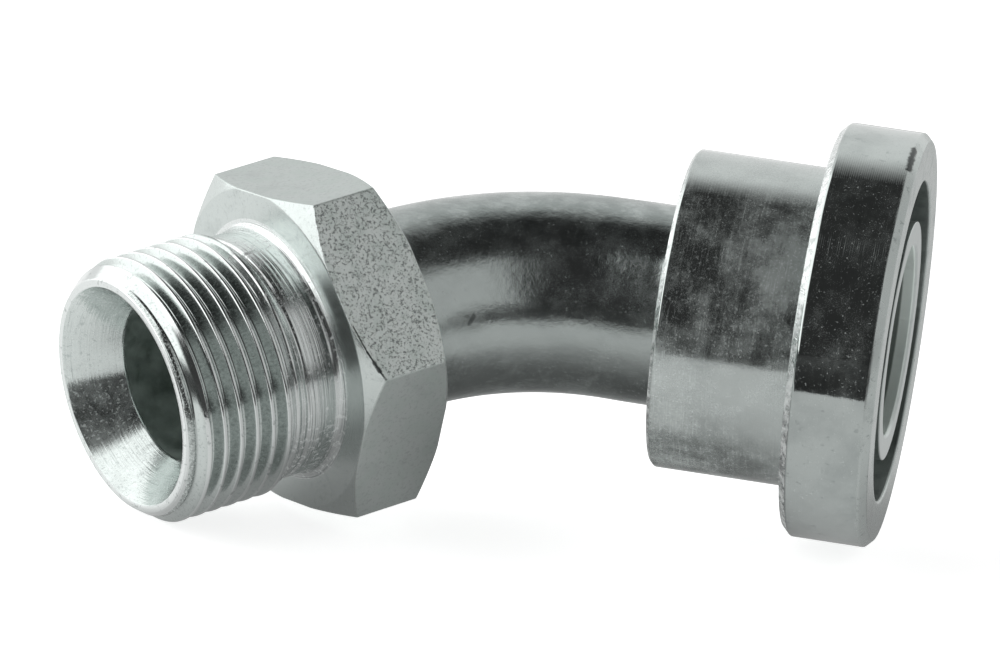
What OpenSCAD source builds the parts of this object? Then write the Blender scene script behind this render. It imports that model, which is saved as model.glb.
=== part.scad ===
// 45 degree hydraulic elbow adapter: a flange head at one end, a pipe thread with a cone seat
// at the other. It is one piece of steel: turned, drilled from both ends and bent.
// The origin is the centre of the sealing face and +X points out of the flange.
// The elbow lies on its side, as it comes to rest, and the thread's end lies lower than the head.

/* [Flange head] */
// Diameter of the clamped head
head_d = 41.28; // [38:0.01:46]
// Thickness of the clamped head
head_t = 8.76; // [7:0.01:14]
// Chamfer at the sealing face
head_front_chamfer = 0.75; // [0.2:0.05:1.5]
// Chamfer at the clamped shoulder
head_rear_chamfer = 0.8; // [0.2:0.05:1.5]

/* [Sealing face] */
// Outer diameter of the O-ring groove
groove_od = 31.9; // [29:0.05:34]
// Inner diameter of the O-ring groove
groove_id = 23.8; // [22:0.05:26]
// Depth of the O-ring groove
groove_depth = 2.8; // [1.5:0.05:3.5]
// Broken edge round the outside of the groove
groove_edge_break = 0.2; // [0.05:0.05:0.4]
// How far the inner lip stands below the sealing face
lip_drop = 0.2; // [0.05:0.05:0.6]

/* [Flange port] */
// Bore at the flange end
port_d = 19; // [17.2:0.1:20.5]
// Depth of that bore, from the sealing face to its taper
port_l = 18; // [12:0.5:18.5]
// Angle of the taper down to the tube's bore, to the centre line
port_taper = 30; // [25:1:60]
// Chamfer at the mouth of the port
port_chamfer = 0.3; // [0.1:0.05:0.8]

/* [Collar] */
// Diameter of the collar behind the head
collar_d = 31.75; // [28:0.01:35]
// Length of the collar
collar_l = 14; // [13.5:0.1:24]
// Chamfer at the collar's rear edge
collar_chamfer = 0.4; // [0.1:0.05:1]

/* [Bent tube] */
// Outer diameter of the tube
tube_d = 20; // [19:0.1:22]
// Bore of the tube and of the threaded end
tube_bore = 16; // [14:0.1:17]
// Angle of the bend
bend_angle = 45; // [30:1:60]
// Radius of the bend, to the centre line
bend_r = 29; // [24:0.5:45]
// How much the bending draws the tube in round the bend, in diameter, inside and outside
bend_draw_in = 0.1; // [0.05:0.05:0.4]
// Straight stretch between the collar and the bend
straight_collar = 6.3; // [3:0.1:20]
// Straight stretch between the bend and the hexagon
straight_hex = 4.3; // [3:0.1:20]
// Fillet at each end of the tube
tube_fillet = 0.8; // [0.3:0.1:1.5]

/* [Hexagon] */
// Width of the hexagon across its flats
hex_af = 32; // [30.5:0.5:35]
// Length of the hexagon
hex_l = 9.6; // [7:0.1:16]
// Diameter at which the hexagon's chamfers start
hex_face_d = 32.2; // [30:0.1:33]
// Angle of the hexagon's chamfers to its end faces
hex_chamfer_angle = 30; // [20:1:35]
// Turn of the hexagon about the thread, away from a flat that faces down
hex_turn = 18.5; // [15:0.5:24]

/* [Threaded end] */
// Major diameter of the pipe thread
thread_d = 26.44; // [26:0.01:28]
// Distance from the hexagon to the end of the thread
thread_l = 17.5; // [14:0.1:26]
// Diameter at which the lead-in chamfer starts on the end face
lead_in_d = 23.4; // [22.8:0.1:24]
// Length of the lead-in chamfer
lead_in_l = 2; // [1:0.1:3]
// Diameter of the relief behind the thread
relief_d = 24.6; // [23.5:0.1:25.5]
// Width of the relief
relief_w = 5.6; // [3.5:0.1:6.5]
// Fillet between the relief and the hexagon
relief_fillet = 0.9; // [0.3:0.1:1]

/* [Cone seat] */
// Mouth diameter of the cone seat
seat_d = 21.9; // [18.5:0.1:22.3]
// Included angle of the cone seat
seat_angle = 60; // [50:1:90]
// Broken edge round the mouth of the seat
seat_edge_break = 0.15; // [0.05:0.05:0.2]

/* [Hidden] */
$fn = 96;
// How far a cutter runs past the face that it opens through
over = 1;
// Flats that stand in for the arc of a fillet
fillet_steps = 6;

// Where the bend starts on the flange's axis
bend_x = -(head_t + collar_l + straight_collar);
// Places along the thread's axis, from the end of the bend
hex_start = straight_hex;
hex_end = hex_start + hex_l;
thread_end = hex_end + thread_l;

// The elbow rests on the head's rim, a corner of the hexagon and the rim of the thread.
// Its roll about the flange's axis brings that corner and the thread's rim to one height.
hex_corner_r = hex_af / 2 / cos(30);
corner_turn = 30 - hex_turn;
corner_bevel = max(hex_corner_r - hex_face_d / 2, 0) * tan(hex_chamfer_angle);
corner_down = hex_corner_r * cos(corner_turn);
corner_side = side_of(hex_end - corner_bevel) - hex_corner_r * sin(corner_turn) * cos(bend_angle);
rim_side = side_of(thread_end - lead_in_l);
rest_roll = roll_for(0, 4);

// Distance from the flange's axis to a place on the thread's axis, in the plane of the bend
function side_of(z) = bend_r * (1 - cos(bend_angle)) + z * sin(bend_angle);

// The roll, worked out from a guess in a few passes
function roll_for(guess, passes) = passes == 0 ? guess : let (
        rim_down = thread_d / 2 * sqrt(1 - pow(sin(bend_angle) * sin(guess), 2)),
        arm = rim_side - corner_side)
    roll_for(acos(rim_down / norm([corner_down, arm])) - atan2(arm, corner_down), passes - 1);

// A concave fillet from a cylinder of radius r out to a face at z, as points of a profile
function fillet(r, z, size, toward) =
    [for (i = [0:fillet_steps]) let (a = 90 * i / fillet_steps)
        [r + size * (1 - cos(a)), z + toward * size * (1 - sin(a))]];

function reversed(points) = [for (i = [len(points) - 1:-1:0]) points[i]];

// Turns a profile of [radius, distance along the axis] round that axis.
module turned(points) {
    rotate_extrude() polygon(points);
}

// Brings what is drawn along +Z onto the flange's axis, with z = 0 on the sealing face.
module on_flange_axis() {
    rotate([0, 90, 0]) children();
}

// Brings what is drawn along +Z onto the thread's axis, with z = 0 at the end of the bend.
module on_thread_axis() {
    translate([bend_x, -bend_r, 0]) rotate([0, 0, bend_angle])
        translate([0, bend_r, 0]) rotate([0, -90, 0]) children();
}

// A round bar, or a round cutter, that follows the bend between straights of diameter d.
module bent_round(d) {
    translate([bend_x, -bend_r, 0]) rotate([0, 0, 90])
        rotate_extrude(angle = bend_angle) translate([bend_r, 0]) circle(d = d - bend_draw_in);
}

// The head and the collar that the split clamp holds, and the tube up to the bend.
module flange_blank() {
    head_r = head_d / 2;
    collar_r = collar_d / 2;
    collar_rear = -head_t - collar_l;
    on_flange_axis() turned(concat(
        [[0, 0],
         [head_r - head_front_chamfer, 0],
         [head_r, -head_front_chamfer],
         [head_r, -head_t + head_rear_chamfer],
         [head_r - head_rear_chamfer, -head_t],
         [collar_r, -head_t],
         [collar_r, collar_rear + collar_chamfer],
         [collar_r - collar_chamfer, collar_rear]],
        reversed(fillet(tube_d / 2, collar_rear, tube_fillet, -1)),
        [[tube_d / 2, bend_x],
         [0, bend_x]]));
}

// The hexagon, with its corners turned off by a cone at each end.
module hexagon() {
    bevel_r = hex_face_d / 2;
    reach = hex_corner_r + over;
    bevel = (reach - bevel_r) * tan(hex_chamfer_angle);
    on_thread_axis() intersection() {
        translate([0, 0, hex_start]) rotate([0, 0, hex_turn + 30])
            cylinder(h = hex_l, r = hex_corner_r, $fn = 6);
        turned([[0, hex_start],
                [bevel_r, hex_start],
                [reach, hex_start + bevel],
                [reach, hex_end - bevel],
                [bevel_r, hex_end],
                [0, hex_end]]);
    }
}

// The threaded end at its major diameter, its relief, and the tube from the bend.
module thread_blank() {
    thread_r = thread_d / 2;
    relief_r = relief_d / 2;
    inside_hex = relief_r + relief_fillet;
    on_thread_axis() turned(concat(
        [[0, 0],
         [tube_d / 2, 0]],
        fillet(tube_d / 2, hex_start, tube_fillet, -1),
        [[inside_hex, hex_start]],
        reversed(fillet(relief_r, hex_end, relief_fillet, 1)),
        [[relief_r, hex_end + relief_w - (thread_r - relief_r)],
         [thread_r, hex_end + relief_w],
         [thread_r, thread_end - lead_in_l],
         [lead_in_d / 2, thread_end],
         [0, thread_end]]));
}

// The groove for the O-ring, and the lip inside it.
module sealing_face_cut() {
    outer_r = groove_od / 2;
    inner_r = groove_id / 2;
    on_flange_axis() turned([
        [0, over],
        [outer_r + groove_edge_break, over],
        [outer_r + groove_edge_break, 0],
        [outer_r, -groove_edge_break],
        [outer_r, -groove_depth],
        [inner_r, -groove_depth],
        [inner_r, -lip_drop],
        [0, -lip_drop]]);
}

// The passage: the flange's port, its taper, the bent bore and the cone seat.
module passage_cut() {
    bore_r = tube_bore / 2;
    port_r = port_d / 2;
    taper_l = (port_r - bore_r) / tan(port_taper);
    mouth_r = port_r + port_chamfer;
    seat_r = seat_d / 2;
    seat_l = (seat_r - bore_r) / tan(seat_angle / 2);
    on_flange_axis() turned([
        [0, over],
        [mouth_r, over],
        [mouth_r, -lip_drop],
        [port_r, -lip_drop - port_chamfer],
        [port_r, -port_l],
        [bore_r, -port_l - taper_l],
        [bore_r, bend_x],
        [0, bend_x]]);
    bent_round(tube_bore);
    on_thread_axis() turned([
        [0, 0],
        [bore_r, 0],
        [bore_r, thread_end - seat_l],
        [seat_r, thread_end],
        [seat_r + seat_edge_break, thread_end],
        [seat_r + seat_edge_break, thread_end + over],
        [0, thread_end + over]]);
}

module elbow() {
    color("lightsteelblue") rotate([rest_roll, 0, 0]) difference() {
        union() {
            flange_blank();
            bent_round(tube_d);
            hexagon();
            thread_blank();
        }
        sealing_face_cut();
        passage_cut();
    }
}

elbow();
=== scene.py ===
import math

import bmesh
import bpy
import numpy as np
from mathutils import Matrix, Vector


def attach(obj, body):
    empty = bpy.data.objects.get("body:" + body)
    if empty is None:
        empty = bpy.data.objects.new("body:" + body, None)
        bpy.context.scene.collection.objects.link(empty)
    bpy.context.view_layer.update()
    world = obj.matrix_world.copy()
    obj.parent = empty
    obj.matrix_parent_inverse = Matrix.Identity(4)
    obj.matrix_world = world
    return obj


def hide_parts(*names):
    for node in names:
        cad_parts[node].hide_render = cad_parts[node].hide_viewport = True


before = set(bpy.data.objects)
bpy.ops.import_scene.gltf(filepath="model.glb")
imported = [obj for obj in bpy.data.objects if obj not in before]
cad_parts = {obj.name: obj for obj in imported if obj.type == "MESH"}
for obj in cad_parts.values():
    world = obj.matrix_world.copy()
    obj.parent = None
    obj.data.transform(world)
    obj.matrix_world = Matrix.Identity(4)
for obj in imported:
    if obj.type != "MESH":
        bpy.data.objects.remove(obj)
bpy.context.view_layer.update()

MM = 0.001

# Sizes, as in the CAD part
HEAD_R = 20.64
HEAD_T = 8.76
HEAD_FRONT_CHAMFER = 0.75
HEAD_REAR_CHAMFER = 0.8
GROOVE_OUT_R = 15.95
GROOVE_IN_R = 11.9
GROOVE_DEPTH = 2.8
GROOVE_EDGE_BREAK = 0.2
LIP_DROP = 0.2
PORT_R = 9.5
PORT_L = 18.0
PORT_TAPER_L = 2.598
PORT_CHAMFER = 0.3
COLLAR_R = 15.875
COLLAR_L = 14.0
COLLAR_REAR = HEAD_T + COLLAR_L
COLLAR_CHAMFER = 0.4
TUBE_R = 10.0
TUBE_BEND_R = 9.95
TUBE_FILLET = 0.8
BORE_R = 8.0
BORE_BEND_R = 7.95
BEND_X = 29.06
BEND_R = 29.0
BEND_ANGLE = math.radians(45)
BEND_ARC = BEND_R * BEND_ANGLE
HEX_START = 4.3
HEX_L = 9.6
HEX_R = 16.0
HEX_FACE_R = 16.1
HEX_CHAMFER = math.tan(math.radians(30))
HEX_TURN = 18.5
HEX_END = HEX_START + HEX_L
THREAD_R = 13.22
THREAD_L = 17.5
THREAD_END = HEX_END + THREAD_L
LEAD_IN_R = 11.7
LEAD_IN_L = 2.0
RELIEF_R = 12.3
RELIEF_W = 5.6
RELIEF_FILLET = 0.9
SEAT_R = 10.95
SEAT_L = 5.11
ROLL = math.radians(17.427)

# The thread, which the CAD part leaves plain: its pitch, and the place of a crest in turns
PITCH = 25.4 / 14
CREST_PHASE = 0.53
# Half of one turn, as (distance from the crest's middle along the axis, radius)
THREAD_PROFILE = (
    (0.0, 13.22),
    (0.09, 13.22),
    (0.15, 13.19),
    (0.20, 13.11),
    (0.45, 12.63),
    (0.70, 12.16),
    (0.79, 12.07),
    (0.907, 12.05),
)
# The run-out: distances from the hexagon between which the groove gets shallower, and by how much
RUN_OUT_FROM = 5.0
RUN_OUT_TO = 1.2
RUN_OUT_LIFT = 0.42
# How far the thread's lines stay off the relief's fillet and off the end face
THREAD_GAP = 0.02
THREAD_STOP = 0.12
THREAD_STOP_RISE = 0.09
# Turns past each end of the thread, whose lines are held at that end
SPARE_TURNS_BEFORE = 3
SPARE_TURNS_AFTER = 1

# Where the thread's finishes change, along the axis
NECK_REACH = 2.6
BRIGHT_END = 1.0
CREST_AFTER = 0.3
CREST_BEFORE = 0.2
FLANK_AFTER = 1.0

# Rounding of the edges
END_ROUNDING = 0.06
FINE_ROUNDING = 0.1
EDGE_ROUNDING = 0.12
BROAD_ROUNDING = 0.15
PORT_ROUNDING = 0.3
SEAT_EDGE_BREAK = 0.1
# The share of a side that a rounding takes at most, and a length that stands for none
ROUNDING_SHARE = 0.45
TINY = 1e-9

# The hexagon's rounded corners, and how far its end faces stay inside its sides
HEX_EDGE_R = 0.3
HEX_FACE_MARGIN = 0.15
HALF_SECTOR = math.radians(30)

# Fineness of the mesh
CORNER_TURNS = (0.16, 0.32, 0.47, 1.0, 2.6)
SECTOR_STEPS = 12
ROUNDING_STEPS = 3
FILLET_STEPS = 5
TUBE_RINGS = 34
BORE_RINGS = 30
# Radii on the sealing face where the rings start and where they end
FACE_START_R = GROOVE_OUT_R + 1.0
FACE_END_R = GROOVE_OUT_R + 0.6
# How far the tube's even rings stay off its fillets
OFF_COLLAR = 1
OFF_HEXAGON = 0.5
# How far the bore's rings stay off the cone's foot and off the bend
OFF_CONE = 4
OFF_CONE_RINGS = 6
OFF_BEND_RINGS = 4
OFF_BEND = 5
# Length over which the tube and its bore are drawn in, before and after the bend
DRAW_IN_L = 3
# Points closer than this are joined, in metres
WELD = 0.000001


# Centre line
def centre_frames(s):
    """Points, first and second cross directions of the centre line at distances s from the flange."""
    s = np.asarray(s, float)
    turn = np.clip((s - BEND_X) / BEND_R, 0.0, BEND_ANGLE)
    before = np.minimum(s, BEND_X)
    after = np.maximum(s - BEND_X - BEND_ARC, 0.0)
    x = -before - BEND_R * np.sin(turn) - after * np.cos(turn)
    y = -BEND_R * (1 - np.cos(turn)) - after * np.sin(turn)
    point = np.stack([x, y, np.zeros_like(x)], -1)
    first = np.broadcast_to(np.array([0.0, 0.0, 1.0]), point.shape)
    second = np.stack([-np.sin(turn), np.cos(turn), np.zeros_like(x)], -1)
    return point, first, second


def at(z):
    """Distance from the flange of a place z along the thread's axis, from the end of the bend."""
    return BEND_X + BEND_ARC + z


def drawn_in(s):
    """1 round the bend, where the tube is drawn in, and 0 on the straights."""
    start = min(max((s - BEND_X + DRAW_IN_L) / DRAW_IN_L, 0), 1)
    end = min(max((at(DRAW_IN_L) - s) / DRAW_IN_L, 0), 1)
    return start * end


def rolled(points):
    """Points turned about the flange's axis, as the elbow comes to rest."""
    c, s = math.cos(ROLL), math.sin(ROLL)
    turn = np.array([[1, 0, 0], [0, c, -s], [0, s, c]])
    return points @ turn.T


def ring_angles():
    """Angles round the centre line: close together at the hexagon's corners, even between them."""
    near = list(CORNER_TURNS)
    far = list(np.linspace(near[-1], 30.0, SECTOR_STEPS + 1)[1:])
    half = near + far
    one = [0.0] + half + [-t for t in half[:-1]]
    turns = sorted((HEX_TURN + 30 + 60 * k + t) % 360 for k in range(6) for t in one)
    return np.radians(np.array(turns))


THETA = ring_angles()
COUNT = len(THETA)


def hexagon_radius():
    """Distance from the axis to the hexagon's side, with its corners a little rounded."""
    off = np.degrees(THETA) - HEX_TURN - 30
    off = np.radians((off + 30) % 60 - 30)
    flat = HEX_R / np.cos(HALF_SECTOR - np.abs(off))
    middle = (HEX_R - HEX_EDGE_R) / math.cos(HALF_SECTOR)
    inside = np.maximum(HEX_EDGE_R**2 - (middle * np.sin(off)) ** 2, 0.0)
    corner = middle * np.cos(off) + np.sqrt(inside)
    limit = math.atan(HEX_EDGE_R * 0.5 / (middle + HEX_EDGE_R * math.cos(HALF_SECTOR)))
    return np.where(np.abs(off) < limit, corner, flat)


# The one surface
class Surface:
    """Rings of points along the centre line, each joined to the next, with a finish for each band."""

    def __init__(self):
        self.places = []
        self.radii = []
        self.zones = []
        self.jumps = []

    def ring(self, place, radius, zone, jump=0):
        """A jump is the number of rings that a line of the thread moves on in one turn."""
        self.places.append(np.broadcast_to(np.asarray(place, float), (COUNT,)))
        self.radii.append(np.broadcast_to(np.asarray(radius, float), (COUNT,)))
        self.zones.append(zone)
        self.jumps.append(jump)

    def profile(self, corners):
        """Corners are (place, radius, rounding, zone of the band that leads here)."""
        points = []
        for place, radius, rounding, zone in corners:
            pair = np.stack(np.broadcast_arrays(place, radius, THETA)[:2], -1).astype(float)
            points.append((pair, rounding, zone))
        for i, (here, rounding, zone) in enumerate(points):
            if rounding == 0 or i == 0 or i == len(points) - 1:
                self.ring(here[:, 0], here[:, 1], zone)
            else:
                self.rounded(points[i - 1][0], here, points[i + 1][0], rounding, zone)

    def rounded(self, before, here, after, rounding, zone):
        """Rings round the corner here, between the corners before and after it."""
        back = before - here
        ahead = after - here
        back_l = np.linalg.norm(back, axis=1, keepdims=True)
        ahead_l = np.linalg.norm(ahead, axis=1, keepdims=True)
        cut = np.minimum(rounding, np.minimum(ROUNDING_SHARE * back_l, ROUNDING_SHARE * ahead_l))
        start = here + back / np.maximum(back_l, TINY) * cut
        end = here + ahead / np.maximum(ahead_l, TINY) * cut
        for k in range(ROUNDING_STEPS + 1):
            t = k / ROUNDING_STEPS
            arc = (1 - t) ** 2 * start + 2 * t * (1 - t) * here + t**2 * end
            self.ring(arc[:, 0], arc[:, 1], zone)


def fillet(size, first=0):
    """Steps of a quarter circle: one distance falls from size to 0 and the other grows from 0 to size."""
    turns = [math.radians(90 * k / FILLET_STEPS) for k in range(first, FILLET_STEPS + 1)]
    return [(size * (1 - math.sin(turn)), size * (1 - math.cos(turn))) for turn in turns]


def flange_outside(surface):
    surface.profile([
        (0.0, FACE_START_R, 0, "face"),
        (0.0, HEAD_R - HEAD_FRONT_CHAMFER, BROAD_ROUNDING, "face"),
        (HEAD_FRONT_CHAMFER, HEAD_R, BROAD_ROUNDING, "face"),
        (HEAD_T - HEAD_REAR_CHAMFER, HEAD_R, BROAD_ROUNDING, "head"),
        (HEAD_T, HEAD_R - HEAD_REAR_CHAMFER, BROAD_ROUNDING, "edge"),
        (HEAD_T, COLLAR_R, FINE_ROUNDING, "face"),
        (COLLAR_REAR - COLLAR_CHAMFER, COLLAR_R, EDGE_ROUNDING, "collar"),
        (COLLAR_REAR, COLLAR_R - COLLAR_CHAMFER, FINE_ROUNDING, "edge"),
        (COLLAR_REAR, TUBE_R + TUBE_FILLET, 0, "face"),
    ])


def tube_outside(surface):
    for falling, growing in fillet(TUBE_FILLET, first=1):
        surface.ring(COLLAR_REAR + growing, TUBE_R + falling, "tube")
    start = COLLAR_REAR + TUBE_FILLET + OFF_COLLAR
    end = at(HEX_START) - TUBE_FILLET - OFF_HEXAGON
    for s in np.linspace(start, end, TUBE_RINGS):
        surface.ring(s, TUBE_R + (TUBE_BEND_R - TUBE_R) * drawn_in(s), "tube")
    for falling, growing in fillet(TUBE_FILLET):
        surface.ring(at(HEX_START) - falling, TUBE_R + growing, "tube")


def hexagon_outside(surface):
    side = hexagon_radius()
    face = np.minimum(HEX_FACE_R, side - HEX_FACE_MARGIN)
    bevel = (side - face) * HEX_CHAMFER
    surface.profile([
        (at(HEX_START), TUBE_R + TUBE_FILLET, 0, "hex_face"),
        (at(HEX_START), face, EDGE_ROUNDING, "hex_face"),
        (at(HEX_START) + bevel, side, EDGE_ROUNDING, "hex_face"),
        (at(HEX_END) - bevel, side, EDGE_ROUNDING, "hex"),
        (at(HEX_END), face, EDGE_ROUNDING, "hex_face"),
        (at(HEX_END), RELIEF_R + RELIEF_FILLET, 0, "hex_face"),
    ])
    for falling, growing in fillet(RELIEF_FILLET, first=1):
        surface.ring(at(HEX_END) + growing, RELIEF_R + falling, "neck")


def thread_envelope(z):
    """Radius of the turned blank that the thread is cut in, at places z along the axis."""
    from_hex = z - HEX_END
    step = THREAD_R - RELIEF_R
    relief = np.interp(from_hex, [RELIEF_W - step, RELIEF_W], [RELIEF_R, THREAD_R])
    lead_in = np.interp(z, [THREAD_END - LEAD_IN_L, THREAD_END], [THREAD_R, LEAD_IN_R])
    return np.minimum(relief, lead_in)


def thread_radius(z):
    """Radius of the threaded end at places z, one for each angle."""
    turns = z / PITCH - THETA / (2 * math.pi) - CREST_PHASE
    off = np.abs(turns - np.round(turns)) * PITCH
    profile = np.array(THREAD_PROFILE)
    cut = np.interp(off, profile[:, 0], profile[:, 1])
    lift = np.interp(z - HEX_END, [RUN_OUT_TO, RUN_OUT_FROM], [RUN_OUT_LIFT, 0.0])
    return np.minimum(thread_envelope(z), cut + lift)


def thread_zone(turn_start, off):
    """The finish of a line: the neck, a crest, or the flank that faces the end or the hexagon."""
    if turn_start < HEX_END + RELIEF_W - NECK_REACH:
        return "neck"
    if turn_start > THREAD_END - LEAD_IN_L - BRIGHT_END:
        return "crest"
    if off < CREST_AFTER or off > PITCH - CREST_BEFORE:
        return "crest"
    return "flank" if off < FLANK_AFTER else "rear_flank"


def thread_outside(surface):
    """Lines that follow the helix, held between the relief's start and the end face."""
    low = HEX_END + RELIEF_FILLET + THREAD_GAP
    high = THREAD_END - THREAD_STOP
    steps = sorted({d for d, _ in THREAD_PROFILE} | {PITCH - d for d, _ in THREAD_PROFILE if d > 0})
    first = math.floor(low / PITCH) - SPARE_TURNS_BEFORE
    last = math.ceil(high / PITCH) + SPARE_TURNS_AFTER
    for turn in range(first, last + 1):
        for d in steps:
            z = PITCH * (turn + CREST_PHASE + THETA / (2 * math.pi)) + d
            z = np.clip(z, low, high)
            zone = thread_zone(PITCH * turn, d)
            surface.ring(at(z), thread_radius(z), zone, jump=len(steps))
    surface.ring(at(high), thread_radius(np.full(COUNT, high)), "end")


def cone_corner(share):
    """A corner of the profile on the cone seat, a share of the way from its mouth to its foot."""
    return (at(THREAD_END - share * SEAT_L), SEAT_R - share * (SEAT_R - BORE_R), 0, "cone")


def passage(surface):
    """The end face, the cone seat, the bore, the port and the groove, back to the sealing face."""
    foot = THREAD_END - SEAT_L
    surface.profile([
        (at(THREAD_END) - THREAD_STOP, LEAD_IN_R + THREAD_STOP_RISE, 0, "end"),
        (at(THREAD_END), LEAD_IN_R, END_ROUNDING, "end"),
        (at(THREAD_END), SEAT_R + SEAT_EDGE_BREAK, 0, "end"),
    ])
    surface.profile([
        (at(THREAD_END) - SEAT_EDGE_BREAK, SEAT_R, 0, "cone"),
        cone_corner(0.33),
        cone_corner(0.66),
        (at(foot), BORE_R, BROAD_ROUNDING, "cone"),
        (at(foot - OFF_CONE), BORE_R, 0, "bore"),
    ])
    for s in np.linspace(at(foot - OFF_CONE_RINGS), BEND_X - OFF_BEND_RINGS, BORE_RINGS):
        surface.ring(s, BORE_R + (BORE_BEND_R - BORE_R) * drawn_in(s), "bore")
    surface.profile([
        (BEND_X - OFF_BEND, BORE_R, 0, "bore"),
        (PORT_L + PORT_TAPER_L, BORE_R, PORT_ROUNDING, "bore"),
        (PORT_L, PORT_R, PORT_ROUNDING, "port"),
        (PORT_L / 2, PORT_R, 0, "port"),
        (LIP_DROP + PORT_CHAMFER, PORT_R, FINE_ROUNDING, "port"),
        (LIP_DROP, PORT_R + PORT_CHAMFER, FINE_ROUNDING, "lip"),
        (LIP_DROP, GROOVE_IN_R, EDGE_ROUNDING, "lip"),
        (GROOVE_DEPTH, GROOVE_IN_R, BROAD_ROUNDING, "groove"),
        (GROOVE_DEPTH, GROOVE_OUT_R, BROAD_ROUNDING, "groove"),
        (GROOVE_EDGE_BREAK, GROOVE_OUT_R, FINE_ROUNDING, "groove"),
        (0.0, GROOVE_OUT_R + GROOVE_EDGE_BREAK, FINE_ROUNDING, "face"),
        (0.0, FACE_END_R, 0, "face"),
    ])


def whole_surface():
    surface = Surface()
    flange_outside(surface)
    tube_outside(surface)
    hexagon_outside(surface)
    thread_outside(surface)
    passage(surface)
    return surface


def surface_points(surface):
    places = np.array(surface.places)
    radii = np.array(surface.radii)
    middle, first, second = centre_frames(places)
    around = np.cos(THETA)[None, :, None] * first + np.sin(THETA)[None, :, None] * second
    return rolled(middle + radii[..., None] * around)


def surface_faces(surface):
    """Quads between each ring and the next; the thread's lines go on one turn further at the seam."""
    rings = len(surface.places)
    last_line = max(i for i, jump in enumerate(surface.jumps) if jump) + 1
    faces = []
    zones = []

    def corner(i, j):
        if j < COUNT:
            return i * COUNT + j
        jump = surface.jumps[i]
        return (min(i + jump, last_line) if jump else i) * COUNT

    for i in range(rings):
        k = (i + 1) % rings
        for j in range(COUNT):
            faces.append((corner(i, j), corner(i, j + 1), corner(k, j + 1), corner(k, j)))
            zones.append(surface.zones[k])
    return faces, zones


def along_profile(surface):
    """Length along the profile, so that tool marks follow faces as well as cylinders."""
    places = np.array(surface.places).mean(1)
    radii = np.array(surface.radii).mean(1)
    steps = np.hypot(np.diff(places), np.diff(radii))
    return np.concatenate([[0.0], np.cumsum(steps)])


# Nodes
# Places of the colour sockets on a mix node
MIX_FACTOR = 0
MIX_FIRST_COLOUR = 6
MIX_SECOND_COLOUR = 7
MIX_COLOUR_RESULT = 2


def node(tree, kind, **values):
    made = tree.nodes.new(kind)
    for name, value in values.items():
        setattr(made, name, value)
    return made


def join(tree, source, target):
    tree.links.new(source, target)


def feed(tree, value, socket):
    """Sets a number or a colour on the socket itself, and joins anything that varies to it."""
    if isinstance(value, (int, float)):
        socket.default_value = value
    elif isinstance(value, tuple):
        socket.default_value = (*value, 1.0)
    else:
        join(tree, value, socket)


def separated(tree, vector):
    """The outputs X, Y and Z of a vector."""
    parts = node(tree, "ShaderNodeSeparateXYZ")
    join(tree, vector, parts.inputs[0])
    return parts.outputs


def lathe_place(tree):
    """(cos, sin, length along the profile in millimetres), as stored with the mesh's points."""
    return node(tree, "ShaderNodeAttribute", attribute_name="lathe").outputs["Vector"]


def lathe_coordinates(tree, around, along):
    """The place on the lathe, stretched: tool marks run round where around is small."""
    scaled = node(tree, "ShaderNodeVectorMath", operation="MULTIPLY")
    scaled.inputs[1].default_value = (around, around, along)
    join(tree, lathe_place(tree), scaled.inputs[0])
    return scaled.outputs[0]


def object_coordinates(tree):
    return node(tree, "ShaderNodeTexCoord").outputs["Object"]


def noise(tree, vector, scale, detail, roughness):
    made = node(tree, "ShaderNodeTexNoise")
    made.inputs["Scale"].default_value = scale
    made.inputs["Detail"].default_value = detail
    made.inputs["Roughness"].default_value = roughness
    join(tree, vector, made.inputs["Vector"])
    return made.outputs["Fac"]


def ramp(tree, value, low, high, to_low=0.0, to_high=1.0):
    made = node(tree, "ShaderNodeMapRange", interpolation_type="SMOOTHSTEP")
    for name, number in zip(("From Min", "From Max", "To Min", "To Max"), (low, high, to_low, to_high)):
        made.inputs[name].default_value = number
    join(tree, value, made.inputs["Value"])
    return made.outputs["Result"]


def math_node(tree, operation, a, b=0.0):
    made = node(tree, "ShaderNodeMath", operation=operation)
    feed(tree, a, made.inputs[0])
    feed(tree, b, made.inputs[1])
    return made.outputs[0]


def mixed_colour(tree, factor, first, second):
    made = node(tree, "ShaderNodeMix", data_type="RGBA")
    feed(tree, factor, made.inputs[MIX_FACTOR])
    feed(tree, first, made.inputs[MIX_FIRST_COLOUR])
    feed(tree, second, made.inputs[MIX_SECOND_COLOUR])
    return made.outputs[MIX_COLOUR_RESULT]


def bump(tree, height, distance, after):
    made = node(tree, "ShaderNodeBump")
    made.inputs["Strength"].default_value = 1.0
    made.inputs["Distance"].default_value = distance
    join(tree, height, made.inputs["Height"])
    if after is not None:
        join(tree, after, made.inputs["Normal"])
    return made.outputs["Normal"]


def distance_to_line(tree, place, start, end):
    """Distance in metres from a place to the line between two points in millimetres."""
    start = Vector(start) * MM
    way = Vector(end) * MM - start
    offset = node(tree, "ShaderNodeVectorMath", operation="SUBTRACT")
    offset.inputs[1].default_value = start
    join(tree, place, offset.inputs[0])
    dot = node(tree, "ShaderNodeVectorMath", operation="DOT_PRODUCT")
    dot.inputs[1].default_value = way / way.length_squared
    join(tree, offset.outputs[0], dot.inputs[0])
    share = math_node(tree, "MAXIMUM", math_node(tree, "MINIMUM", dot.outputs["Value"], 1.0), 0.0)
    foot = node(tree, "ShaderNodeVectorMath", operation="SCALE")
    foot.inputs[0].default_value = way
    join(tree, share, foot.inputs["Scale"])
    rest = node(tree, "ShaderNodeVectorMath", operation="DISTANCE")
    join(tree, offset.outputs[0], rest.inputs[0])
    join(tree, foot.outputs[0], rest.inputs[1])
    return rest.outputs["Value"]


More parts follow.
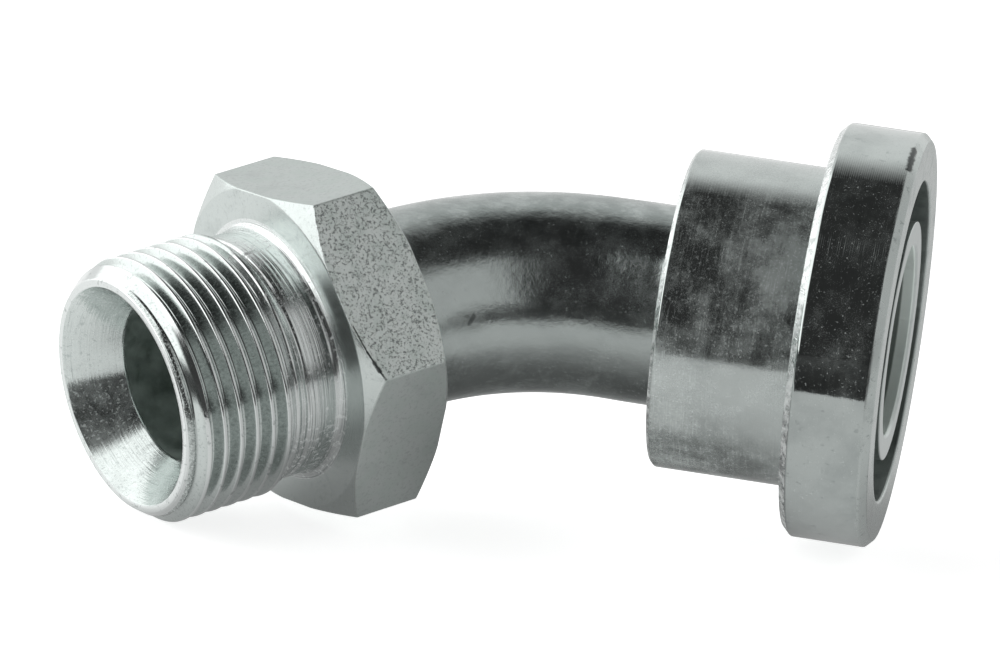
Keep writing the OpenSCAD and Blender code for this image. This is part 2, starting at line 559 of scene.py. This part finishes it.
# Colours of the zinc plate, and of painted shade and light
ZINC = (0.585, 0.632, 0.615)
ZINC_PALE = (0.72, 0.755, 0.745)
ZINC_DULL = (0.36, 0.40, 0.39)
ZINC_SPECKS = (0.2, 0.23, 0.22)
EDGE_ZINC = (0.80, 0.83, 0.82)
TUBE_ZINC = (0.49, 0.535, 0.52)
# Painted shade for the tube's top
TUBE_TOP_PAINTED_SHADE = (0.27, 0.305, 0.295)
SKIN_PALE = (0.78, 0.83, 0.805)
SKIN_PATCHES = (0.52, 0.60, 0.56)
SKIN_PITS = (0.13, 0.15, 0.145)
NECK_MARKS = (0.22, 0.25, 0.24)
BORE_ZINC = (0.34, 0.40, 0.37)
BORE_PATCHES = (0.16, 0.20, 0.18)
# The port's pale zinc, whose paleness is partly painted light, and the shade painted deeper in
PORT_ZINC_WITH_PAINTED_LIGHT = (0.76, 0.84, 0.80)
PORT_PAINTED_SHADE = (0.07, 0.09, 0.08)
GROOVE_ZINC = (0.36, 0.40, 0.385)
STAIN = (0.03, 0.034, 0.034)

# Small stains and burrs: the ends of each and its size
HEAD_STAIN = ((-0.85, -3.4, 20.35), (-0.75, -7.4, 19.2), 0.36)
TUBE_STAIN = ((-41.0, -13.8, -1.0), (-40.7, -13.5, -0.2), 0.26)
HEX_BURRS = (
    ((-50.0, -29.05, 1.2), (-48.3, -29.65, -0.96), 0.075),
    ((-48.3, -29.65, -0.96), (-47.6, -29.82, -1.7), 0.11),
    ((-47.45, -29.84, -1.85), (-46.8, -29.98, -2.6), 0.24),
    ((-46.7, -29.99, -2.7), (-46.1, -30.0, -3.3), 0.11),
)
THREAD_NICK = ((-62.3, -37.7, -7.3), (-61.6, -37.5, -7.5), 0.16)
# Fineness of a stain's ragged edge, how far it wanders, and where the stain ends and is full, in sizes
RAGGED_SCALE = 2200
RAGGED_BY = 1.6
STAIN_ENDS = 2.1
STAIN_FULL = 1.3

# Feed of the turning tool on the head and on the collar, and how unevenly its marks lie
HEAD_FEED = 0.21
COLLAR_FEED = HEAD_FEED * 1.4
FEED_DRIFT = 9.0
# The metal that haze leaves at least
LEAST_METAL = 0.3
# Heights between which painted shade darkens the tube's top, and the depths between which painted shade
# darkens the port
TUBE_SHADE_HEIGHTS = (4.5, 8.5)
PORT_SHADE_DEPTHS = (-1.45, -1.65)
# Turn of one pitted flat, and the softness of its borders
PITTED_TURN = HEX_TURN + 300
PITTED_BORDER = 0.02


# Finishes
class Finish:
    """A metal surface put together from a colour, a gloss and marks: plain values or node sockets."""

    def __init__(self, name, rough, tint=ZINC):
        self.material = bpy.data.materials.new(name)
        self.material.use_nodes = True
        self.tree = self.material.node_tree
        self.shader = self.tree.nodes["Principled BSDF"]
        self.place = object_coordinates(self.tree)
        self.colour = tint
        self.rough = rough
        self.metal = 1.0
        self.normal = None

    def cloud(self, scale, detail=4.0, roughness=0.6):
        """Noise that is the same in every direction; scale is about 1 / size in metres."""
        return noise(self.tree, self.place, scale, detail, roughness)

    def streak(self, around, along, detail=3.0):
        """Noise drawn out round the part: a large along makes fine turning marks."""
        return noise(self.tree, lathe_coordinates(self.tree, around, along), 1.0, detail, 0.6)

    def patches(self, scale, low, high, detail=4.0, roughness=0.6):
        """1 where a cloud is above high and 0 where it is below low."""
        return ramp(self.tree, self.cloud(scale, detail, roughness), low, high)

    def bands(self, around, along, low, high, detail=3.0):
        """1 where a streak is above high and 0 where it is below low."""
        return ramp(self.tree, self.streak(around, along, detail), low, high)

    def paint(self, mask, colour, amount):
        factor = math_node(self.tree, "MULTIPLY", mask, amount)
        self.colour = mixed_colour(self.tree, factor, self.colour, colour)

    def dull(self, mask, amount):
        """Makes the surface rougher where the mask is 1."""
        extra = math_node(self.tree, "MULTIPLY", mask, amount)
        self.rough = math_node(self.tree, "ADD", self.rough, extra)

    def haze(self, mask, amount):
        """Adds a pale haze over the mirror where the mask is 1, as fine scratches and oxide do."""
        less = math_node(self.tree, "MULTIPLY", mask, -amount)
        left = math_node(self.tree, "ADD", self.metal, less)
        self.metal = math_node(self.tree, "MAXIMUM", left, LEAST_METAL)

    def smudge(self, start, end, size, amount):
        """A ragged stain along a short line on the part; its places and its size are in millimetres."""
        reach = distance_to_line(self.tree, self.place, start, end)
        ragged = math_node(self.tree, "MULTIPLY", self.cloud(RAGGED_SCALE), size * RAGGED_BY * MM)
        reach = math_node(self.tree, "ADD", reach, ragged)
        stain = ramp(self.tree, reach, size * STAIN_ENDS * MM, size * STAIN_FULL * MM)
        self.paint(stain, STAIN, amount)

    def burrs(self):
        """The dark burr along one edge of the hexagon."""
        for burr in HEX_BURRS:
            self.smudge(*burr, 0.93)

    def mark(self, height, depth):
        """Relief of a depth in millimetres."""
        self.normal = bump(self.tree, height, depth * MM, self.normal)

    def feed_marks(self, pitch, depth):
        """The regular marks of a turning tool, a little uneven."""
        along = separated(self.tree, lathe_place(self.tree))["Z"]
        drift = math_node(self.tree, "MULTIPLY", self.streak(1.0, 1.5), FEED_DRIFT)
        turns = math_node(self.tree, "MULTIPLY", along, 2 * math.pi / pitch)
        wave = math_node(self.tree, "SINE", math_node(self.tree, "ADD", turns, drift))
        self.mark(wave, depth)

    def done(self):
        feed(self.tree, self.colour, self.shader.inputs["Base Color"])
        feed(self.tree, self.rough, self.shader.inputs["Roughness"])
        feed(self.tree, self.metal, self.shader.inputs["Metallic"])
        if self.normal is not None:
            join(self.tree, self.normal, self.shader.inputs["Normal"])
        return self.material


def turned_face():
    """The flange's end face, its front chamfer and the faces behind the head and the collar."""
    finish = Finish("turned_face", 0.24)
    finish.paint(finish.patches(260, 0.55, 0.75), ZINC_DULL, 0.5)
    finish.paint(finish.patches(1500, 0.60, 0.68, detail=3.0), ZINC_DULL, 0.7)
    finish.dull(finish.patches(500, 0.4, 0.8), 0.2)
    finish.smudge(*HEAD_STAIN, 0.9)
    finish.mark(finish.streak(1.0, 8.0), 0.006)
    finish.mark(finish.cloud(1800, detail=3.0), 0.006)
    return finish.done()


def turned_head():
    """The rim of the head: nearly a mirror, with feed marks and small bruises."""
    finish = Finish("turned_head", 0.06)
    finish.paint(finish.patches(150, 0.42, 0.70, detail=5.0), ZINC_DULL, 0.45)
    finish.paint(finish.patches(1100, 0.62, 0.70), ZINC_DULL, 0.5)
    finish.haze(finish.patches(420, 0.42, 0.80, detail=6.0, roughness=0.7), 0.10)
    finish.haze(finish.patches(4200, 0.62, 0.72, detail=2.0), 0.30)
    finish.haze(finish.bands(6.0, 22.0, 0.60, 0.72), 0.12)
    finish.smudge(*HEAD_STAIN, 0.9)
    finish.feed_marks(HEAD_FEED, 0.002)
    finish.mark(finish.cloud(1100), 0.004)
    return finish.done()


def turned_collar():
    """The collar: the same, with more rubbing and fine scratches round it."""
    finish = Finish("turned_collar", 0.10)
    finish.paint(finish.patches(150, 0.45, 0.85), ZINC_DULL, 0.4)
    finish.haze(finish.patches(130, 0.38, 0.68, detail=6.0, roughness=0.72), 0.42)
    finish.haze(finish.bands(3.0, 5.0, 0.50, 0.72, detail=4.0), 0.11)
    finish.haze(finish.bands(11.0, 4.0, 0.54, 0.74, detail=4.0), 0.12)
    finish.haze(finish.patches(4200, 0.54, 0.70, detail=3.0), 0.22)
    finish.dull(finish.patches(600, 0.40, 0.75, detail=5.0, roughness=0.7), 0.10)
    finish.feed_marks(COLLAR_FEED, 0.0012)
    finish.mark(finish.streak(2.0, 5.0), 0.003)
    finish.mark(finish.cloud(1800, detail=5.0, roughness=0.7), 0.006)
    return finish.done()


def bright_edge():
    """The burred chamfers behind the collar and the head."""
    finish = Finish("bright_edge", 0.24, EDGE_ZINC)
    finish.paint(finish.patches(900, 0.50, 0.60, roughness=0.7), ZINC_DULL, 0.6)
    finish.haze(finish.patches(700, 0.35, 0.60), 0.5)
    finish.mark(finish.cloud(1300), 0.13)
    return finish.done()


def bent_tube():
    """Drawn tube: smooth, a little wavy, with cloudy patches of duller plate and painted shade, mottled,
    on its top.
    """
    finish = Finish("bent_tube", 0.13, TUBE_ZINC)
    finish.paint(finish.patches(110, 0.45, 0.8), ZINC_DULL, 0.5)
    # Painted shade: the tube's top is darkened, in mottled patches.
    height = separated(finish.tree, finish.place)["Z"]
    top = ramp(finish.tree, height, TUBE_SHADE_HEIGHTS[0] * MM, TUBE_SHADE_HEIGHTS[1] * MM)
    mottled_top_shade = math_node(finish.tree, "MULTIPLY", top, finish.patches(420, 0.25, 0.60, detail=5.0))
    finish.paint(mottled_top_shade, TUBE_TOP_PAINTED_SHADE, 0.75)
    finish.haze(finish.patches(250, 0.42, 0.75, detail=6.0, roughness=0.7), 0.16)
    finish.haze(finish.patches(4000, 0.62, 0.72, detail=2.0), 0.22)
    finish.dull(finish.patches(180, 0.40, 0.70), 0.14)
    finish.smudge(*TUBE_STAIN, 0.5)
    finish.mark(finish.cloud(170, detail=3.0), 0.09)
    finish.mark(finish.streak(7.0, 0.6, detail=4.0), 0.02)
    finish.mark(finish.cloud(700, detail=6.0, roughness=0.75), 0.04)
    return finish.done()


def pitted_flats(tree):
    """1 on the flats that keep the bar's pitted skin, which are every other one."""
    parts = separated(tree, lathe_place(tree))
    turn = math_node(tree, "ARCTAN2", parts["Y"], parts["X"])
    turn = math_node(tree, "SUBTRACT", turn, math.radians(PITTED_TURN))
    wave = math_node(tree, "COSINE", math_node(tree, "MULTIPLY", turn, 3.0))
    return ramp(tree, wave, -PITTED_BORDER, PITTED_BORDER)


def bar_skin():
    """The hexagon's flats: dull, with the pits of bar skin on some of them."""
    finish = Finish("bar_skin", 0.34)
    finish.paint(finish.patches(200, 0.5, 0.8), ZINC_DULL, 0.35)
    finish.paint(finish.patches(2600, 0.50, 0.66, detail=5.0, roughness=0.7), ZINC_DULL, 0.45)
    small = finish.patches(3600, 0.53, 0.59, detail=5.0, roughness=0.75)
    large = finish.patches(1700, 0.58, 0.62, detail=5.0, roughness=0.75)
    shown = pitted_flats(finish.tree)
    pits = math_node(finish.tree, "MULTIPLY", math_node(finish.tree, "MAXIMUM", small, large), shown)
    finish.paint(shown, SKIN_PALE, 0.8)
    finish.paint(finish.patches(420, 0.40, 0.70), SKIN_PATCHES, 0.5)
    finish.paint(pits, SKIN_PITS, 0.75)
    finish.haze(shown, 0.35)
    finish.burrs()
    finish.mark(math_node(finish.tree, "SUBTRACT", 1.0, pits), 0.05)
    finish.mark(finish.cloud(1100, detail=5.0), 0.010)
    return finish.done()


def turned_hex_face():
    """The hexagon's end faces and chamfers."""
    finish = Finish("turned_hex_face", 0.27)
    finish.paint(finish.patches(300, 0.55, 0.8), ZINC_DULL, 0.4)
    finish.paint(finish.patches(2400, 0.54, 0.68, detail=5.0, roughness=0.7), ZINC_DULL, 0.4)
    finish.burrs()
    finish.mark(finish.streak(0.8, 4.5), 0.010)
    finish.mark(finish.cloud(1500, detail=3.0), 0.005)
    return finish.done()


def turned_neck():
    """The relief behind the thread, with the coarse marks of the tool."""
    finish = Finish("turned_neck", 0.2, ZINC_PALE)
    finish.paint(finish.bands(1.2, 6.0, 0.55, 0.66, detail=4.0), NECK_MARKS, 0.6)
    finish.haze(finish.patches(1900, 0.50, 0.66, roughness=0.7), 0.4)
    finish.mark(finish.streak(0.4, 2.2, detail=1.0), 0.04)
    finish.mark(finish.streak(0.7, 5.0, detail=2.0), 0.05)
    finish.mark(finish.cloud(1800, detail=3.0), 0.008)
    return finish.done()


def thread_crest():
    """The crests, and the lead-in at the thread's end: burnished bright, with a pale tint that is partly
    a painted highlight.
    """
    # The pale tint stands partly for painted highlights along the crests.
    finish = Finish("thread_crest", 0.16, ZINC_PALE)
    finish.paint(finish.patches(1300, 0.58, 0.68), ZINC_DULL, 0.6)
    finish.smudge(*THREAD_NICK, 0.85)
    finish.mark(finish.streak(1.0, 9.0), 0.006)
    finish.mark(finish.cloud(1500), 0.010)
    return finish.done()


def thread_flank():
    """The flank of each turn that faces the end, a little torn by the tool."""
    finish = Finish("thread_flank", 0.18)
    finish.paint(finish.patches(3200, 0.54, 0.66), ZINC_DULL, 0.5)
    finish.mark(finish.cloud(2600, detail=3.0), 0.004)
    return finish.done()


def thread_rear_flank():
    """The flank that faces the hexagon, darker and mottled with specks."""
    finish = Finish("thread_rear_flank", 0.2)
    finish.paint(finish.patches(4200, 0.46, 0.60, roughness=0.7), ZINC_SPECKS, 0.55)
    finish.haze(finish.patches(4700, 0.50, 0.64, detail=3.0), 0.6)
    finish.mark(finish.cloud(2600, detail=3.0), 0.005)
    return finish.done()


def turned_end():
    """The narrow end face between the thread and the cone seat."""
    finish = Finish("turned_end", 0.24, ZINC_PALE)
    finish.paint(finish.patches(1700, 0.58, 0.68, detail=3.0), ZINC_DULL, 0.6)
    finish.mark(finish.streak(1.0, 8.0), 0.012)
    finish.mark(finish.cloud(2000, detail=3.0), 0.008)
    return finish.done()


def reamed_cone():
    """The cone seat, with rings left by the tool and specks that show in its dark side."""
    finish = Finish("reamed_cone", 0.12)
    finish.paint(finish.patches(1500, 0.56, 0.66, detail=5.0, roughness=0.7), ZINC_DULL, 0.6)
    finish.paint(finish.bands(2.5, 5.0, 0.58, 0.72, detail=4.0), ZINC_DULL, 0.6)
    finish.haze(finish.patches(420, 0.30, 0.70, detail=6.0, roughness=0.75), 0.30)
    finish.haze(finish.patches(3300, 0.56, 0.66, detail=3.0), 0.35)
    finish.mark(finish.streak(0.8, 5.0, detail=2.0), 0.012)
    finish.mark(finish.streak(1.5, 14.0, detail=2.0), 0.006)
    finish.mark(finish.cloud(1500, detail=5.0, roughness=0.7), 0.008)
    return finish.done()


def dark_bore():
    """The passage, where little plate is laid down."""
    finish = Finish("dark_bore", 0.42, BORE_ZINC)
    finish.paint(finish.patches(260, 0.45, 0.7), BORE_PATCHES, 0.6)
    finish.haze(finish.patches(500, 0.2, 0.7, detail=5.0), 0.45)
    finish.mark(finish.cloud(900), 0.02)
    return finish.done()


def turned_port():
    """The flange's port: matt and pale at its mouth, where its paleness is partly painted light, with
    painted shade further in.
    """
    finish = Finish("turned_port", 0.48, PORT_ZINC_WITH_PAINTED_LIGHT)
    finish.paint(finish.patches(240, 0.50, 0.75), ZINC_DULL, 0.3)
    finish.haze(finish.patches(200, 0.0, 0.1), 0.55)
    place = separated(finish.tree, finish.place)["X"]
    # Painted shade: the port is darkened past its mouth.
    finish.paint(ramp(finish.tree, place, PORT_SHADE_DEPTHS[0] * MM, PORT_SHADE_DEPTHS[1] * MM), PORT_PAINTED_SHADE, 0.85)
    finish.mark(finish.streak(0.8, 5.0), 0.006)
    return finish.done()


def turned_lip():
    """The lowered lip between the port and the groove."""
    finish = Finish("turned_lip", 0.28)
    finish.paint(finish.patches(700, 0.50, 0.75), ZINC_DULL, 0.3)
    finish.mark(finish.streak(0.8, 9.0), 0.006)
    return finish.done()


def groove_finish():
    """The O-ring groove: dull, with darker patches."""
    finish = Finish("groove", 0.4, GROOVE_ZINC)
    finish.paint(finish.patches(500, 0.45, 0.7), ZINC_SPECKS, 0.6)
    finish.mark(finish.streak(0.8, 8.0), 0.008)
    return finish.done()


def materials():
    """The finish of each zone of the surface."""
    return {
        "face": turned_face(),
        "head": turned_head(),
        "collar": turned_collar(),
        "edge": bright_edge(),
        "tube": bent_tube(),
        "hex": bar_skin(),
        "hex_face": turned_hex_face(),
        "neck": turned_neck(),
        "crest": thread_crest(),
        "flank": thread_flank(),
        "rear_flank": thread_rear_flank(),
        "end": turned_end(),
        "cone": reamed_cone(),
        "bore": dark_bore(),
        "port": turned_port(),
        "lip": turned_lip(),
        "groove": groove_finish(),
    }


# The visual mesh
def elbow_mesh():
    surface = whole_surface()
    points = surface_points(surface) * MM
    faces, zones = surface_faces(surface)
    finishes = materials()
    names = list(finishes)
    mesh = bpy.data.meshes.new("elbow_visual")
    mesh.from_pydata(points.reshape(-1, 3).tolist(), [], faces)
    for finish in finishes.values():
        mesh.materials.append(finish)
    mesh.polygons.foreach_set("material_index", [names.index(zone) for zone in zones])
    mesh.polygons.foreach_set("use_smooth", [True] * len(faces))
    store_lathe_places(mesh, surface)
    weld(mesh)
    return mesh


def store_lathe_places(mesh, surface):
    """Keeps with each point its turn round the centre line and its length along the profile."""
    length = np.repeat(along_profile(surface)[:, None], COUNT, 1)
    turn = np.broadcast_to(THETA, length.shape)
    lathe = mesh.attributes.new("lathe", "FLOAT_VECTOR", "POINT")
    lathe.data.foreach_set("vector", np.stack([np.cos(turn), np.sin(turn), length], -1).ravel())


def weld(mesh):
    """Joins points that share a place and drops the faces that have no area."""
    work = bmesh.new()
    work.from_mesh(mesh)
    bmesh.ops.remove_doubles(work, verts=work.verts, dist=WELD)
    bmesh.ops.dissolve_degenerate(work, dist=WELD, edges=work.edges)
    bmesh.ops.recalc_face_normals(work, faces=work.faces)
    work.to_mesh(mesh)
    work.free()


def even_shading(thing):
    """Normals weighted by area, so that the narrow roundings don't tilt the broad faces."""
    bpy.context.view_layer.objects.active = thing
    thing.select_set(True)
    weighted = thing.modifiers.new("even_shading", "WEIGHTED_NORMAL")
    weighted.mode = "FACE_AREA"
    weighted.weight = 50
    bpy.ops.object.modifier_apply(modifier=weighted.name)


def build_elbow():
    elbow = bpy.data.objects.new("elbow_visual", elbow_mesh())
    bpy.context.scene.collection.objects.link(elbow)
    even_shading(elbow)
    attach(elbow, "root")
    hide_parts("elbow")


# Camera
CAMERA_AT = (84.974, -872.494, 235.765)
CAMERA_RIGHT = (0.979519, 0.170006, 0.107889)
CAMERA_UP = (-0.147874, 0.243718, 0.958506)
CAMERA_LENS = 331.38
CAMERA_SENSOR = 36
# Nearest and farthest distance that it shows, in metres
CAMERA_CLIP = (0.05, 20)


def build_camera():
    camera = bpy.data.cameras.new("camera")
    camera.sensor_width = CAMERA_SENSOR
    camera.lens = CAMERA_LENS
    camera.clip_start, camera.clip_end = CAMERA_CLIP
    seat = bpy.data.objects.new("camera", camera)
    right = Vector(CAMERA_RIGHT).normalized()
    back = right.cross(Vector(CAMERA_UP)).normalized()
    up = back.cross(right)
    turn = Matrix((right, up, back)).transposed()
    seat.matrix_world = Matrix.Translation(Vector(CAMERA_AT) * MM) @ turn.to_4x4()
    bpy.context.scene.collection.objects.link(seat)
    bpy.context.scene.camera = seat


# Studio
WHITE = (1.0, 1.0, 1.0)
# Soft cards, in degrees: (name, azimuth, half width, its softness, low, high, softness, strength)
CARDS = (
    ("back_wall", 98, 50, 12, -40, 59, 13, 0.85),
    ("left_softbox", -172, 53, 7, -4, 60, 7, 1.7),
    ("right_window", -35, 24, 8, 3, 56, 8, 0.6),
    ("right_wall", 14, 38, 8, -10, 54, 10, 0.55),
)
DARK_ROOM = 0.032
# The floor and the black flag that hides it in the metal, nearer to the camera than FLAG_FRONT
STAGE_REACH = 3000
FLOOR_Z = -21.69
FLAG_FRONT = -73.0
FLAG_RISE = 0.5
FLAG_BLACK = (0.01, 0.01, 0.01)
FLOOR_WHITE = (0.9, 0.9, 0.9)
FLOOR_GLOW = 0.72
# Brightness of the floor in the metal, at the left and at the right, and where it changes, in metres
FLOOR_IN_METAL = (1.05, 0.6)
FLOOR_CHANGES = (-0.085, -0.045)
# Its shades: (x, y, radius of the core, radius where it ends, depth)
FLOOR_SHADES = (
    (-34, -3, 3, 36, 0.8),
    (-58, -24, 5, 20, 0.6),
    (-18, -5, 3, 15, 0.5),
    (6, 6, 4, 30, 0.5),
)


def emptied_tree(owner):
    """The node tree of a material or a world, without its first nodes."""
    owner.use_nodes = True
    owner.node_tree.nodes.clear()
    return owner.node_tree


def by_ray(tree, kind, others, such):
    """One shader for rays of a kind, such as camera rays, and another for all others."""
    mix = node(tree, "ShaderNodeMixShader")
    join(tree, node(tree, "ShaderNodeLightPath").outputs[kind], mix.inputs[0])
    join(tree, others, mix.inputs[1])
    join(tree, such, mix.inputs[2])
    return mix.outputs[0]


def studio_card(tree, way, name, azimuth, half, side_soft, low, high, soft, strength):
    """Strength of one card, painted on the sky round its azimuth between two elevations."""
    turned = node(tree, "ShaderNodeVectorRotate", rotation_type="Z_AXIS", label=name)
    turned.inputs["Angle"].default_value = math.radians(-azimuth)
    join(tree, way, turned.inputs["Vector"])
    parts = separated(tree, turned.outputs[0])
    side = math_node(tree, "ABSOLUTE", math_node(tree, "ARCTAN2", parts["Y"], parts["X"]))
    rise = math_node(tree, "ARCSINE", parts["Z"])
    inside = ramp(tree, side, math.radians(half + side_soft), math.radians(half - side_soft))
    above = ramp(tree, rise, math.radians(low - soft), math.radians(low + soft))
    below = ramp(tree, rise, math.radians(high + soft), math.radians(high - soft))
    shown = math_node(tree, "MULTIPLY", math_node(tree, "MULTIPLY", inside, above), below)
    return math_node(tree, "MULTIPLY", shown, strength)


def build_world():
    """White for the camera; for all other rays, a dark room with soft bright cards."""
    world = bpy.data.worlds.new("studio")
    bpy.context.scene.world = world
    tree = emptied_tree(world)
    way = node(tree, "ShaderNodeTexCoord").outputs["Generated"]
    total = DARK_ROOM
    for card in CARDS:
        total = math_node(tree, "MAXIMUM", total, studio_card(tree, way, *card))
    room = node(tree, "ShaderNodeBackground")
    join(tree, total, room.inputs["Strength"])
    white = node(tree, "ShaderNodeBackground")
    for background in (room, white):
        feed(tree, WHITE, background.inputs["Color"])
    out = node(tree, "ShaderNodeOutputWorld")
    join(tree, by_ray(tree, "Is Camera Ray", room.outputs[0], white.outputs[0]), out.inputs["Surface"])


def plane(name, x0, y0, x1, y1, z):
    mesh = bpy.data.meshes.new(name)
    corners = [(x0, y0, z), (x1, y0, z), (x1, y1, z), (x0, y1, z)]
    mesh.from_pydata([[v * MM for v in c] for c in corners], [], [(0, 1, 2, 3)])
    made = bpy.data.objects.new(name, mesh)
    bpy.context.scene.collection.objects.link(made)
    return made


def shade_on_floor(tree, x, y, near, far, depth):
    """1, less the depth of the object's shadow round a place, which fades out from near to far."""
    from_place = node(tree, "ShaderNodeVectorMath", operation="DISTANCE")
    from_place.inputs[1].default_value = (x * MM, y * MM, FLOOR_Z * MM)
    join(tree, object_coordinates(tree), from_place.inputs[0])
    return ramp(tree, from_place.outputs["Value"], near * MM, far * MM, 1.0 - depth, 1.0)


def floor_in_metal(tree):
    """The floor as the metal mirrors it: darker to the right and under the object."""
    place = separated(tree, object_coordinates(tree))["X"]
    strength = ramp(tree, place, *FLOOR_CHANGES, *FLOOR_IN_METAL)
    for shade in FLOOR_SHADES:
        strength = math_node(tree, "MULTIPLY", strength, shade_on_floor(tree, *shade))
    card = node(tree, "ShaderNodeEmission")
    join(tree, strength, card.inputs["Strength"])
    return card.outputs[0]


def floor_material():
    """A white floor that glows a little, so that it is as white as the background, and keeps a shadow."""
    material = bpy.data.materials.new("white_floor")
    tree = emptied_tree(material)
    paint = node(tree, "ShaderNodeBsdfDiffuse")
    feed(tree, FLOOR_WHITE, paint.inputs["Color"])
    glow = node(tree, "ShaderNodeEmission")
    glow.inputs["Strength"].default_value = FLOOR_GLOW
    seen = node(tree, "ShaderNodeAddShader")
    join(tree, paint.outputs[0], seen.inputs[0])
    join(tree, glow.outputs[0], seen.inputs[1])
    out = node(tree, "ShaderNodeOutputMaterial")
    mirrored = floor_in_metal(tree)
    join(tree, by_ray(tree, "Is Glossy Ray", seen.outputs[0], mirrored), out.inputs["Surface"])
    return material


def flag_material():
    material = bpy.data.materials.new("black_flag")
    material.use_nodes = True
    tree = material.node_tree
    shader = tree.nodes["Principled BSDF"]
    feed(tree, FLAG_BLACK, shader.inputs["Base Color"])
    feed(tree, 1.0, shader.inputs["Roughness"])
    return material


def build_stage():
    floor = plane("floor", -STAGE_REACH, -STAGE_REACH, STAGE_REACH, STAGE_REACH, FLOOR_Z)
    floor.data.materials.append(floor_material())
    flag = plane("flag", -STAGE_REACH, -STAGE_REACH, STAGE_REACH, FLAG_FRONT, FLOOR_Z + FLAG_RISE)
    flag.data.materials.append(flag_material())
    flag.visible_camera = False
    flag.visible_diffuse = False
    flag.visible_shadow = False


def main():
    build_elbow()
    build_stage()
    build_world()
    build_camera()
    bpy.context.scene.view_settings.view_transform = "Standard"


main()
